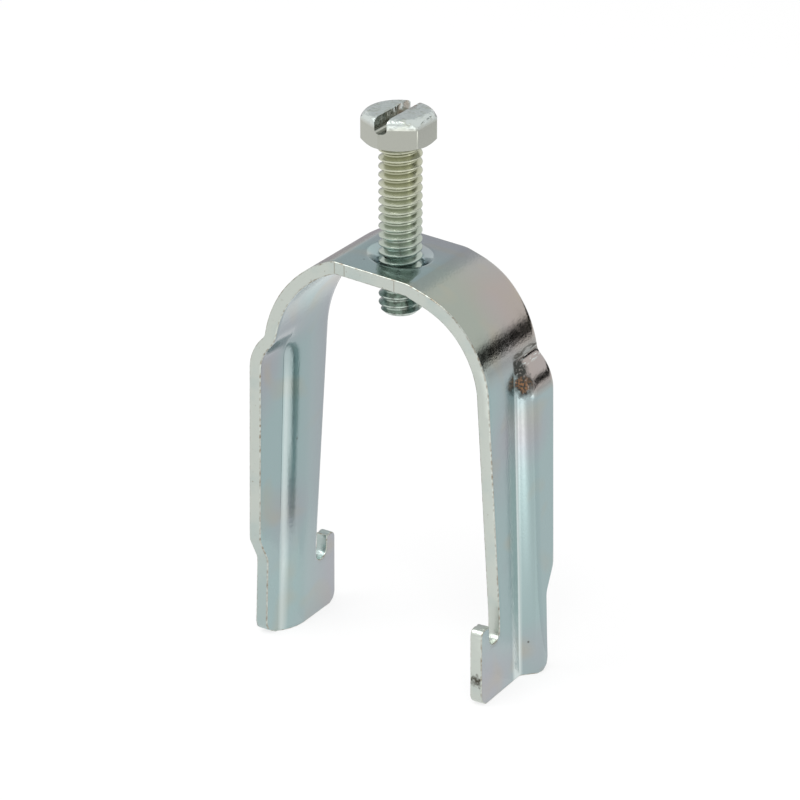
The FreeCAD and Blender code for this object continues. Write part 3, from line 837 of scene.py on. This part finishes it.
def roll_thread(sizes):
    """Rolls the thread as a helix, lets it run out under the head and trims the tip to its chamfer."""
    under_head = sizes.top - sizes.head
    turns_below_tip, turns_to_fade, spare_turns = 1.037, 1.2, 2
    turns = math.ceil((under_head - sizes.tip) / sizes.pitch) + spare_turns
    start = sizes.tip - turns_below_tip * sizes.pitch
    chain = [(radius, 0.0, height) for radius, height in thread_profile(sizes, start)]
    thread = draw_chain("slotted_screw", chain)
    steps = ROUND_STEPS // 2
    apply_modifier(
        thread, "SCREW", angle=2 * math.pi, screw_offset=sizes.pitch, iterations=turns, steps=steps,
        render_steps=steps, use_merge_vertices=True, merge_threshold=SAME_SPOT, use_smooth_shade=False)
    bpy.ops.object.mode_set(mode="EDIT")
    fade_start = under_head - sizes.runout
    shank = sizes.radius - sizes.depth / 2

    def faded(spot):
        share = portion(spot.z - fade_start, turns_to_fade * sizes.pitch)
        reach = math.hypot(spot.x, spot.y)
        scale = (reach + (shank - reach) * share) / reach
        return Vector((spot.x * scale, spot.y * scale, spot.z))

    reshape(thread, faded)
    merge_doubles()
    middle = (sizes.tip + sizes.top) / 2
    for end in (-1, 1):
        def open_end(edge, end=end):
            return len(edge.link_faces) == 1 and (edge.verts[0].co.z - middle) * end > 0

        pick(thread, "edges", open_end)
        extrude((0, 0, 0))
        bpy.ops.mesh.merge(type="CENTER")
    finish_shell()
    margin, in_head = 0.1 * MM, under_head + sizes.head / 3
    trim = lathe("thread_trim", [
        (0.0, sizes.tip),
        (sizes.radius - sizes.tip_chamfer, sizes.tip),
        (sizes.radius + margin, sizes.tip + sizes.tip_chamfer + margin),
        (sizes.radius + margin, in_head),
        (0.0, in_head),
    ])
    cut(thread, trim, "INTERSECT")
    return thread


def form_head(sizes):
    """Forms the hex head, rounds its top and its lower corners by a turned body and cuts the slot."""
    under, corner = sizes.top - sizes.head, sizes.flats / math.sqrt(3)
    deselect()
    middle = (0, 0, under + sizes.head / 2)
    bpy.ops.mesh.primitive_cylinder_add(vertices=6, radius=corner, depth=sizes.head, location=middle)
    head = bpy.context.object
    head.name = "screw_head"
    bpy.ops.object.transform_apply(location=True, rotation=True, scale=True)
    bpy.ops.object.mode_set(mode="EDIT")
    pick(head, "edges", lambda edge: abs(edge.verts[0].co.z - edge.verts[1].co.z) > sizes.head / 2)
    bpy.ops.mesh.bevel(offset=sizes.corner_round, segments=3, affect="EDGES")
    bpy.ops.object.mode_set(mode="OBJECT")
    margin, beyond_corner = 0.05 * MM, corner + 0.3 * MM
    overhang = corner + margin - sizes.dome_flat
    profile = [(0.0, under), (sizes.flats / 2 - margin, under), (beyond_corner, under + sizes.foot_chamfer)]
    profile += [
        (sizes.dome_flat + overhang * math.cos(turn), sizes.top - sizes.dome * (1 - math.sin(turn)))
        for turn in between(0.0, math.pi / 2, steps=14)]
    profile += [(0.0, sizes.top)]
    cut(head, lathe("head_turning", profile), "INTERSECT")
    cut(head, slot_cutter(sizes), "DIFFERENCE")
    least_turn = 38
    round_edges(head, sizes.edge_round, least_turn)
    return head


def slot_cutter(sizes):
    """Makes the slot's cutter: a bar along Y with a rounded lower side."""
    deselect()
    bpy.ops.mesh.primitive_cube_add(size=1.0, location=(0, 0, sizes.top))
    bar = bpy.context.object
    bar.name = "slot_cutter"
    bar.scale = (sizes.slot_width, 2 * sizes.flats, 2 * sizes.slot_depth)
    bpy.ops.object.transform_apply(location=True, rotation=True, scale=True)
    bpy.ops.object.mode_set(mode="EDIT")

    def lower_side(edge):
        one, two = edge.verts
        return max(one.co.z, two.co.z) < sizes.top and abs(one.co.y - two.co.y) > sizes.flats

    pick(bar, "edges", lower_side)
    bpy.ops.mesh.bevel(offset=sizes.slot_round, segments=5, affect="EDGES")
    bpy.ops.object.mode_set(mode="OBJECT")
    return bar


class CLAMP_OT_screw(bpy.types.Operator):
    """Models the screw: a rolled thread and a slotted hex head, united."""
    bl_idname = "clamp.screw"
    bl_label = "Slotted Hex Screw"

    def execute(self, context):
        sizes = context.scene.clamp_screw
        finishes = context.scene.clamp_finishes
        screw = roll_thread(sizes)
        head = form_head(sizes)
        offset_direction = Vector((-0.86, -0.51, 0.0))
        head.data.transform(Matrix.Translation(offset_direction * sizes.head_aside))
        cut(screw, head, "UNION")
        for finish in (zinc_thread(finishes, sizes), zinc_head(finishes, sizes)):
            screw.data.materials.append(finish)
        under_head = sizes.top - sizes.head - NEAR / 2
        for face in screw.data.polygons:
            face.material_index = 1 if face.center.z > under_head else 0
        most_turn = 35
        smooth(screw, most_turn)
        settle(screw, "screw_body", "clamp_screw")
        return {"FINISHED"}


def feed(node, inputs):
    """Sets a node's inputs, listed in order or keyed by place or name; another node's output is linked."""
    keyed = inputs.items() if isinstance(inputs, dict) else enumerate(inputs)
    for key, source in keyed:
        if isinstance(source, bpy.types.NodeSocket):
            node.id_data.links.new(source, node.inputs[key])
        else:
            node.inputs[key].default_value = source


def add_node(tree, kind, inputs=(), output=0, **settings):
    """Adds a node with its settings and inputs, and gives one of its outputs, if it has any."""
    node = tree.nodes.new("ShaderNode" + kind)
    for setting, choice in settings.items():
        setattr(node, setting, choice)
    feed(node, inputs)
    return node.outputs[output] if node.outputs else None


def new_metal(name):
    """Starts a metal: gives its material, a way to add nodes, its shader and the piece's own coordinates."""
    material = bpy.data.materials.new(name)
    material.use_nodes = True
    shader = material.node_tree.nodes["Principled BSDF"]
    feed(shader, {"Metallic": 1.0})
    add = functools.partial(add_node, material.node_tree)
    return material, add, shader, add("TexCoord", output="Object")


def per_size(millimetres):
    """Gives the texture scale at which one cell of a pattern is so many millimetres wide."""
    return 1.0 / (millimetres * MM)


def share_where(add, *limits):
    """Gives the share of a tint where all its limits hold.

    A limit is itself a share, or (value, none, full): the tint grows as the value goes from none to full.
    A share of 1 limits nothing and gets no node.
    """
    telling = [limit for limit in limits if limit != 1.0]
    shares = [add("MapRange", limit) if isinstance(limit, tuple) else limit for limit in telling]
    return functools.reduce(lambda one, two: add("Math", (one, two), operation="MULTIPLY"), shares)


def lay_tint(add, base, tint, *limits, most=1.0):
    """Lays a tint over a colour where all its limits hold, to cover at most a share of it."""
    share = share_where(add, *limits, most)
    # A Mix node takes its share as input 0 and its colours as inputs 6 and 7, and gives output 2
    return add("Mix", {0: share, 6: base, 7: tint}, output=2, data_type="RGBA")


def strap_places(add, spot):
    """Finds where a spot of the strap lies and which way its skin faces, alike on both legs."""
    x, y, z = add("SeparateXYZ", (spot,)).node.outputs
    facing = add("SeparateXYZ", (add("NewGeometry", output="Normal"),)).node.outputs
    side = add("Math", (x,), operation="SIGN")
    return SimpleNamespace(
        spot=spot, x=x, y=y, z=z, upward=facing["Z"],
        aside=add("Math", (x,), operation="ABSOLUTE"),
        across=add("Math", (y, side), operation="MULTIPLY"),
        outward=add("Math", (facing["X"], side), operation="MULTIPLY"))


def tint_chromate(add, finishes, sizes, at):
    """Lays the chromate's tints: a teal sheet, green and pink arches, and drifts of violet and straw."""
    bend = 0.5 * MM
    rising, not_level = (at.upward, 0.05, 0.3), (at.upward, 0.99, 0.93)
    past_bend = (at.aside, sizes.crown_half - bend, sizes.crown_half + bend)
    on_arch = share_where(add, rising, not_level, past_bend)
    base = lay_tint(add, finishes.zinc, finishes.zinc_warm, on_arch)
    stiffened, low_on_arch = (at.across, -4.0 * MM, 3.0 * MM), (at.aside, 8.0 * MM, 13.0 * MM)
    base = lay_tint(add, base, finishes.zinc_pink, on_arch, stiffened, low_on_arch, most=0.85)

    drift = add("TexNoise", {"Vector": at.spot, "Scale": per_size(15), "Detail": 1.0})
    far_half, near_crown = (at.y, -1.0 * MM, 7.0 * MM), (at.x, 15.0 * MM, 6.0 * MM)
    shares = share_where(add, far_half, near_crown), share_where(add, (drift, 0.44, 0.74))
    violet = add("Math", shares, operation="MAXIMUM")
    base = lay_tint(add, base, finishes.zinc_violet, violet, most=0.7)
    sweep = add("TexNoise", {"Vector": at.spot, "Scale": per_size(8), "Detail": 1.0, "Distortion": 0.6})
    return lay_tint(add, base, finishes.zinc_straw, (sweep, 0.55, 0.75), most=0.4)


def paint_crease_highlights(add, finishes, shape, at, base):
    """Paints highlights of pale zinc along both creases of the jog; gives the colour, and how far a spot is
    short of the outer one.
    """
    sizes = shape.sizes
    below_dome = (at.z, 46.0 * MM, 40.0 * MM)
    distances = []
    for low, high, skin, begin, finish, most in (
        (sizes.jog_low, sizes.jog_high, (at.outward, 0.05, 0.2), 2.0 * MM, -0.6 * MM, 0.9),
        (sizes.recess_low, sizes.recess_high, (at.outward, -0.05, -0.2), 1.5 * MM, 0.1 * MM, 0.5),
    ):
        crease = add("MapRange", (at.z, 0.0, shape.spring.z, low, high))
        short = add("Math", (crease, at.across), operation="SUBTRACT")
        distances.append(short)
        begun, ended = (short, begin, begin - 0.8 * MM), (short, finish, finish + 0.4 * MM)
        # Painted highlight: pale zinc laid along the crease, strongest on the outer skin
        base = lay_tint(add, base, finishes.burnished, begun, ended, skin, below_dome, most=most)
    return base, distances[0]


def streak_dome_root(add, finishes, shape, at, base):
    """Streaks a band along the root of each dome, dark above and pale below."""
    lengthwise = add("VectorMath", (at.spot, (1.0, 0.15, 1.0)), operation="MULTIPLY")
    streaks = add("TexNoise", {"Vector": lengthwise, "Scale": per_size(0.25), "Detail": 2.0})
    root, band, border = shape.spring.z + 2.4 * MM, 1.0 * MM, 0.2 * MM
    past_jog, outer_skin = (at.across, 1.0 * MM, 2.0 * MM), (at.outward, 0.05, 0.2)
    for low, high, streaked, tint in (
        (root, root + band, (streaks, 0.52, 0.44), finishes.pit),
        (root - band, root, (streaks, 0.55, 0.62), finishes.burnished),
    ):
        above, below = (at.z, low - border, low + border), (at.z, high + border, high - border)
        base = lay_tint(add, base, tint, streaked, above, below, past_jog, outer_skin, most=0.85)
    return base


def rust_through(add, finishes, at, base, ragged, short):
    """Breaks the plate on one dome by a rusty stain; gives the colour and the share of bare steel."""
    rust_spot, dark_spot = Vector((19.0, 1.8, 46.6)) * MM, Vector((18.1, 1.8, 48.9)) * MM
    wander = []
    for middle in (rust_spot, dark_spot):
        away = add("VectorMath", (at.spot, middle), "Value", operation="DISTANCE")
        wander.append(add("Math", (ragged, 2.4 * MM, away), operation="MULTIPLY_ADD"))
    either = add("Math", wander, operation="MINIMUM")
    crumbs = add("TexNoise", {"Vector": at.spot, "Scale": per_size(0.35), "Detail": 2.0})
    raised = (short, 0.0, -0.4 * MM)
    stain = share_where(add, raised, (either, 3.3 * MM, 2.3 * MM), (crumbs, 0.75, 0.58))
    core = share_where(add, raised, (wander[0], 2.5 * MM, 1.8 * MM), (crumbs, 0.4, 0.54))
    base = lay_tint(add, base, finishes.stain, stain)
    base = lay_tint(add, base, finishes.rust, core)
    return base, add("Math", (core, stain), operation="MAXIMUM")


def zinc_sheet(finishes, shape):
    """Bright zinc plate on rolled sheet: a blurred mirror, tinted teal, green, pink and violet by chromate.

    The plate's grain breaks up the borders of reflections. A painted highlight of pale zinc runs along the
    jog's creases, a streaked band crosses the root of each dome, and pinholes and one rust spot interrupt it.
    """
    material, add, shader, spot = new_metal("bright_zinc_plate")
    at = strap_places(add, spot)
    base = tint_chromate(add, finishes, shape.sizes, at)
    # Painted highlights along the jog's creases
    base, short = paint_crease_highlights(add, finishes, shape, at, base)
    base = streak_dome_root(add, finishes, shape, at, base)
    pinholes = add("TexVoronoi", {"Vector": spot, "Scale": per_size(5)})
    base = lay_tint(add, base, finishes.pit, (pinholes, 0.04, 0.015))
    ragged = add("TexNoise", {"Vector": spot, "Scale": per_size(0.9), "Detail": 3.0})
    base, broken = rust_through(add, finishes, at, base, ragged, short)

    # The real grain is near 0.05 mm; it is drawn at 0.28 mm so that it shows
    grain = add("TexNoise", {"Vector": spot, "Scale": per_size(0.28), "Detail": 2.0})
    polish = add("MapRange", (ragged, 0.3, 0.7, 0.11, 0.19))
    feed(shader, {
        "Base Color": base,
        "Metallic": add("Math", (1.0, broken), operation="SUBTRACT"),
        "Roughness": add("Math", (broken, 0.45, polish), operation="MULTIPLY_ADD"),
        "Normal": add("Bump", {"Height": grain, "Strength": 0.3, "Distance": 0.05 * MM}),
    })
    return material


def sheared_edge(finishes):
    """Zinc over a sheared edge: paler and rougher than the sheet, with dark specks, tears and one knock."""
    material, add, shader, spot = new_metal("zinc_on_sheared_edge")
    x, _, z = add("SeparateXYZ", (spot,)).node.outputs
    specks = add("TexNoise", {"Vector": spot, "Scale": per_size(0.5), "Detail": 2.0})
    clouds = add("TexNoise", {"Vector": spot, "Scale": per_size(4), "Detail": 2.0})
    base = lay_tint(add, finishes.edge, finishes.zinc, (clouds, 0.5, 1.2))
    low, left = (z, 22.0 * MM, 8.0 * MM), (x, -12.0 * MM, -16.0 * MM)
    base = lay_tint(add, base, finishes.zinc, low, left, most=0.7)
    torn, tear_width = share_where(add, (specks, 0.7, 0.78)), 0.07 * MM
    for place in (-5.8 * MM, -4.2 * MM, 3.9 * MM):
        tear = add("Math", (x, place, tear_width), operation="COMPARE")
        torn = add("Math", (torn, tear), operation="MAXIMUM")
    base = lay_tint(add, base, finishes.burr, torn, most=0.6)
    knock = Vector((17.9, -8.6, 4.1)) * MM
    away = add("VectorMath", (spot, knock), "Value", operation="DISTANCE")
    wander = add("Math", (specks, 2.4 * MM, away), operation="MULTIPLY_ADD")
    feed(shader, {
        "Base Color": lay_tint(add, base, finishes.pit, (wander, 2.4 * MM, 1.5 * MM)),
        "Roughness": 0.34,
        "Normal": add("Bump", {"Height": specks, "Strength": 0.3, "Distance": 0.08 * MM}),
    })
    return material


def edge_burr(finishes):
    """The burr along a sheared edge: thin zinc that has begun to brown in fine dots."""
    material, add, shader, spot = new_metal("browned_zinc_burr")
    dots = add("TexNoise", {"Vector": spot, "Scale": per_size(0.6), "Detail": 3.0})
    base = lay_tint(add, finishes.edge, finishes.burr, (dots, 0.42, 0.72))
    feed(shader, {"Base Color": base, "Roughness": 0.28})
    return material


def zinc_thread(finishes, sizes):
    """Zinc with a yellowish chromate on a rolled thread: bright crests, painted shade in the valleys, a
    painted teal reflection of the crown low down, and worn specks near the tip.
    """
    material, add, shader, spot = new_metal("yellowed_zinc_thread")
    height = add("SeparateXYZ", (spot,), "Z")
    level = add("VectorMath", (spot, (1, 1, 0)), operation="MULTIPLY")
    reach = add("VectorMath", (level,), "Value", operation="LENGTH")
    specks = add("TexNoise", {"Vector": spot, "Scale": per_size(0.7), "Detail": 3.0})
    # Painted shade: the thread darkens from its crests into its valleys
    crest = (reach, sizes.radius - sizes.depth, sizes.radius - 0.15 * sizes.depth)
    base = lay_tint(add, finishes.valley, finishes.thread, crest)
    # Painted reflection: the crown's teal zinc laid over the thread's lower part
    painted_crown_reflection = (height, sizes.tip + 20 * MM, sizes.tip + 8 * MM)
    base = lay_tint(add, base, finishes.zinc, painted_crown_reflection, most=0.6)
    near_tip = (height, sizes.tip + 5 * MM, sizes.tip + 3 * MM)
    feed(shader, {
        "Base Color": lay_tint(add, base, finishes.pit, (specks, 0.5, 0.62), near_tip, most=0.5),
        "Roughness": 0.22,
        "Normal": add("Bump", {"Height": specks, "Strength": 0.35, "Distance": 0.08 * MM}),
    })
    return material


def zinc_head(finishes, sizes):
    """Neutral bright zinc on a cold-formed head: smooth flats, and a top and slot scraped by screwdrivers."""
    material, add, shader, spot = new_metal("neutral_zinc_head")
    x, y, z = add("SeparateXYZ", (spot,)).node.outputs
    scrapes = add("TexNoise", {"Vector": spot, "Scale": per_size(1.1), "Detail": 3.0})
    on_top = share_where(add, (z, sizes.top - 1.5 * MM, sizes.top - 0.8 * MM))
    base = lay_tint(add, finishes.head, finishes.burnished, on_top, most=0.7)
    base = lay_tint(add, base, finishes.valley, (scrapes, 0.5, 0.66), on_top, most=0.4)
    slot_floor = sizes.top - sizes.slot_depth
    slot_side = add("Math", (x,), operation="ABSOLUTE")
    in_slot = (slot_side, 0.7 * sizes.slot_width, 0.5 * sizes.slot_width)
    off_floor, far_end = (z, slot_floor - 0.1 * MM, slot_floor + 0.3 * MM), (y, 0.5 * MM, 1.5 * MM)
    relief = add("Math", (scrapes, on_top), operation="MULTIPLY")
    feed(shader, {
        "Base Color": lay_tint(add, base, finishes.rust, in_slot, off_floor, far_end, (scrapes, 0.42, 0.56)),
        "Roughness": 0.18,
        "Normal": add("Bump", {"Height": relief, "Strength": 0.65, "Distance": 0.5 * MM}),
    })
    return material


def bare_tree(owner):
    """Empties the node tree of a material or world and gives a way to add nodes to it."""
    owner.use_nodes = True
    owner.node_tree.nodes.clear()
    return functools.partial(add_node, owner.node_tree)


def seen_directly(add):
    """Gives 1 for rays that show a background: those from the camera, and those off or through an object."""
    path = add("LightPath").node.outputs
    seen = path["Is Camera Ray"]
    for kind in ("Is Glossy Ray", "Is Transmission Ray"):
        seen = add("Math", (seen, path[kind]), operation="MAXIMUM")
    return seen


def white_floor():
    """A white paper floor that shows near white and keeps a soft shadow."""
    material = bpy.data.materials.new("white_paper_floor")
    add = bare_tree(material)
    paper = add("BsdfDiffuse", {"Color": linear("#F7F7F7")})
    white = add("Emission", {"Color": linear("#FFFFFF"), "Strength": 1.0})
    share = add("Math", (seen_directly(add), 0.75), operation="MULTIPLY")
    add("OutputMaterial", {"Surface": add("MixShader", (share, paper, white))})
    return material


def plain_card(hex_colour, glow=0.0):
    """An evenly lit card: it shows in reflections as it is written, brighter in its middle where it glows."""
    material = bpy.data.materials.new("lit_card")
    add = bare_tree(material)
    wide = add("VectorMath", {0: add("TexCoord", output="Object"), "Scale": 2.0}, operation="SCALE")
    middle = add("TexGradient", (wide,), "Fac", gradient_type="QUADRATIC_SPHERE")
    strength = add("Math", (middle, glow, 1.0), operation="MULTIPLY_ADD")
    light = add("Emission", {"Color": linear(hex_colour), "Strength": strength})
    add("OutputMaterial", {"Surface": light})
    return material


def light_world(scene):
    """A white room: full white where it is seen, softer where it lights the floor."""
    scene.world = scene.world or bpy.data.worlds.new("studio")
    add = bare_tree(scene.world)
    strength = add("MapRange", {"Value": seen_directly(add), "To Min": 0.75, "To Max": 1.0})
    white = add("Background", {"Color": linear("#FFFFFF"), "Strength": strength})
    add("OutputWorld", {"Surface": white})


def aimed(place, aim, front):
    """Gives the turn that points an object's front axis from its place to a point."""
    return (Vector(aim) - Vector(place)).to_track_quat(front, "Y").to_euler()


def add_card(name, place, aim, size, material):
    """Stands a card that only reflections see, turned to a point."""
    deselect()
    bpy.ops.mesh.primitive_plane_add(size=1.0)
    card = bpy.context.object
    card.name = name
    card.scale = (*size, 1.0)
    card.location = place
    card.rotation_euler = aimed(place, aim, "Z")
    card.data.materials.append(material)
    card.visible_camera = card.visible_diffuse = card.visible_shadow = False


def add_softbox(name, place, aim, size, power):
    """Hangs a square softbox that shines at a point."""
    lamp = bpy.data.lights.new(name, "AREA")
    lamp.energy = power
    lamp.size = size
    box = bpy.data.objects.new(name, lamp)
    box.location = place
    box.rotation_euler = aimed(place, aim, "-Z")
    box.visible_camera = False
    bpy.context.scene.collection.objects.link(box)


def add_camera(scene):
    """Sets the camera up where the photograph was taken."""
    eye = bpy.data.cameras.new("photo_camera")
    eye.lens = 155.4
    eye.sensor_width = 36.0
    eye.clip_start = 0.01
    camera = bpy.data.objects.new("photo_camera", eye)
    camera.location = (0.23363, -0.38454, 0.2433)
    camera.rotation_euler = (math.radians(65.75), 0.0, math.radians(31.29))
    scene.collection.objects.link(camera)
    scene.camera = camera


class CLAMP_OT_stage(bpy.types.Operator):
    """Sets up the white floor, the studio light, the cards that the plate mirrors and the camera."""
    bl_idname = "clamp.stage"
    bl_label = "Studio Stage"

    def execute(self, context):
        scene = context.scene
        scene.view_settings.view_transform = "Standard"
        deselect()
        bpy.ops.mesh.primitive_plane_add(size=6.0, location=(0, 0, -0.02 * MM))
        floor = context.object
        floor.name = "floor"
        floor.data.materials.append(white_floor())
        light_world(scene)
        aim = (0, 0, 0.04)
        add_softbox("top_softbox", (-0.25, -0.45, 0.85), aim, 0.6, 4.0)
        add_softbox("front_softbox", (0.25, -0.42, 0.75), aim, 0.35, 2.0)
        black = plain_card("#20211F")
        add_card("back_flag", (0.22, 0.24, 0.055), (0.02, 0, 0.055), (0.4, 0.06), black)
        add_card("camera_flag", (0.284, -0.467, 0.317), (0, 0, 0.07), (0.15, 0.3), black)
        add_card("back_scrim", (-0.6, 0.98, 0.5), (0, 0, 0.06), (0.9, 1.5), plain_card("#D2D4D6"))
        lying, overhead = 0.5 * MM, 1.0
        for name, place, size, tint, glow in (
            ("back_path", (-0.37, 0.495), (0.66, 0.81), "#B0ACB0", 0.0),
            ("far_sheet", (0.18, 0.215), (0.12, 0.11), "#E0E1E3", 0.0),
            ("back_sheet", (0.08, 0.09), (0.16, 0.16), "#F3F4F5", 0.0),
            ("front_bounce", (0.035, -0.075), (0.13, 0.15), "#FFFFFF", 1.3),
            ("side_bounce", (0.19, 0.0), (0.12, 0.16), "#FFFFFF", 3.0),
            ("inner_bounce", (0.004, -0.0085), (0.03, 0.013), "#FFFFFF", 1.0),
        ):
            add_card(name, (*place, lying), (*place, overhead), size, plain_card(tint, glow))
        add_camera(scene)
        return {"FINISHED"}


class CLAMP_PT_panel(bpy.types.Panel):
    """Lists the clamp's pieces in the sidebar, with their sizes and colours."""
    bl_label = "Conduit Clamp"
    bl_idname = "CLAMP_PT_panel"
    bl_space_type = "VIEW_3D"
    bl_region_type = "UI"
    bl_category = "Clamp"

    def draw(self, context):
        scene = context.scene
        for operator, group in (
            (CLAMP_OT_strap, scene.clamp_strap),
            (CLAMP_OT_screw, scene.clamp_screw),
            (CLAMP_OT_stage, scene.clamp_finishes),
        ):
            box = self.layout.box()
            box.operator(operator.bl_idname)
            for key in group.__annotations__:
                box.prop(group, key)


CLASSES = (
    StrapSizes, ScrewSizes, ClampFinishes, CLAMP_OT_strap, CLAMP_OT_screw, CLAMP_OT_stage, CLAMP_PT_panel)
GROUPS = {"clamp_strap": StrapSizes, "clamp_screw": ScrewSizes, "clamp_finishes": ClampFinishes}


def register():
    for kind in CLASSES:
        bpy.utils.register_class(kind)
    for name, kind in GROUPS.items():
        setattr(bpy.types.Scene, name, bpy.props.PointerProperty(type=kind))


def unregister():
    for name in GROUPS:
        delattr(bpy.types.Scene, name)
    for kind in reversed(CLASSES):
        bpy.utils.unregister_class(kind)


def main():
    register()
    bpy.ops.clamp.strap()
    bpy.ops.clamp.screw()
    bpy.ops.clamp.stage()


if __name__ == "__main__":
    main()
